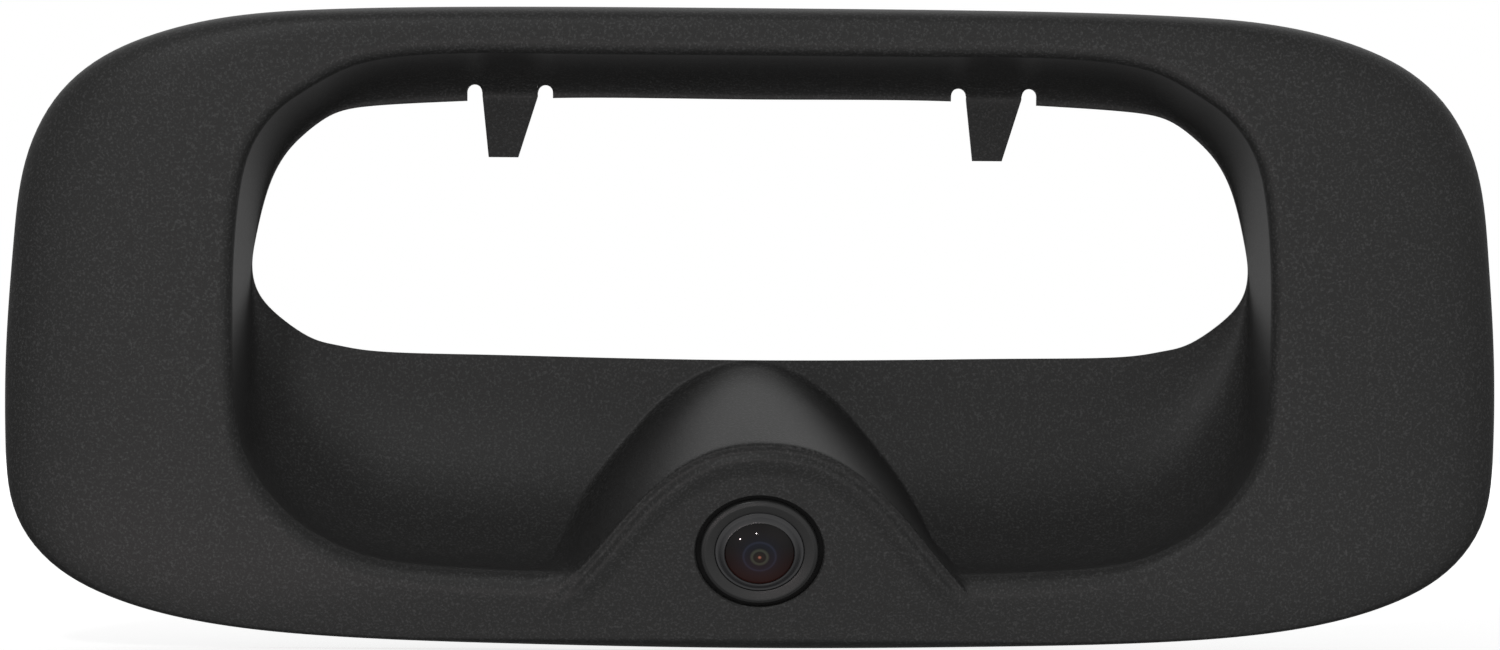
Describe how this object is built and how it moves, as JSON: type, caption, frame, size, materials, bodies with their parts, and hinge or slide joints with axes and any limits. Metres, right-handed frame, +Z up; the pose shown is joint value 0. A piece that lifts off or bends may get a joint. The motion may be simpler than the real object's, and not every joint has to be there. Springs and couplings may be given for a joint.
{
  "type": "backup camera handle bezel",
  "caption": "Black tailgate handle bezel with a coved hand recess, flexing snap tabs and a nose that holds a down-tilted backup camera.",
  "frame": {"origin": "middle of the rim's seat plane, the flat rear edge that lies on the tailgate skin", "axes": "+X right seen from outside the vehicle, +Z up, the front faces -Y and the seat faces +Y"},
  "size_m": [0.3508, 0.0606, 0.1505],
  "materials": {
    "bezel_plastic": "fine-grained, moulded in black",
    "housing_plastic": "satin black",
    "black_rubber": "matte black rubber",
    "lens_glass": "coated optical glass",
    "filter_glass": "tinted filter glass",
    "black_anodised": "black anodised",
    "screw_steel": "zinc plated",
    "bracket_steel": "black coated sheet",
    "circuit_board": "green solder mask",
    "chip_black": "moulded chip package",
    "sensor_glass": "sensor cover glass",
    "connector_plastic": "natural nylon",
    "can_aluminium": "bare can"
  },
  "bodies": {
    "bezel": {"bezel_shell": "bezel_plastic", "camera_seal_ring": "black_rubber", "camera_front_housing": "housing_plastic", "housing_gasket": "black_rubber", "rear_cover": "housing_plastic", "housing_screws": "screw_steel", "cable_grommet": "black_rubber", "lens_barrel": "black_anodised", "lens_retainer_ring": "black_anodised", "lens_front_element": "lens_glass", "lens_spacer": "black_anodised", "lens_second_element": "lens_glass", "aperture_stop": "black_anodised", "lens_third_element": "lens_glass", "lens_rear_spacer": "black_anodised", "lens_rear_element": "lens_glass", "lens_o_ring": "black_rubber", "lens_holder": "housing_plastic", "lens_holder_screws": "screw_steel", "ir_filter": "filter_glass", "image_sensor": "sensor_glass", "sensor_board": "circuit_board", "board_socket": "connector_plastic", "board_plug": "connector_plastic", "power_board": "circuit_board", "power_inductor": "chip_black", "voltage_regulator": "chip_black", "filter_capacitors": "can_aluminium", "cable_header": "connector_plastic", "camera_bracket": "bracket_steel", "bracket_screws": "screw_steel"},
    "tab_left": {"release_tab_left": "bezel_plastic"},
    "tab_right": {"release_tab_right": "bezel_plastic"}
  },
  "joints": [
    {"name": "tab_left_flex", "type": "hinge", "parent": "bezel", "child": "tab_left", "pos_m": [-0.0582, 0.0238, 0.058], "axis": [1, 0, 0], "range_deg": [-8, 10], "stiffness_Nm_per_rad": 2},
    {"name": "tab_right_flex", "type": "hinge", "parent": "bezel", "child": "tab_right", "pos_m": [0.0582, 0.0238, 0.058], "axis": [1, 0, 0], "range_deg": [-8, 10], "stiffness_Nm_per_rad": 2}
  ]
}
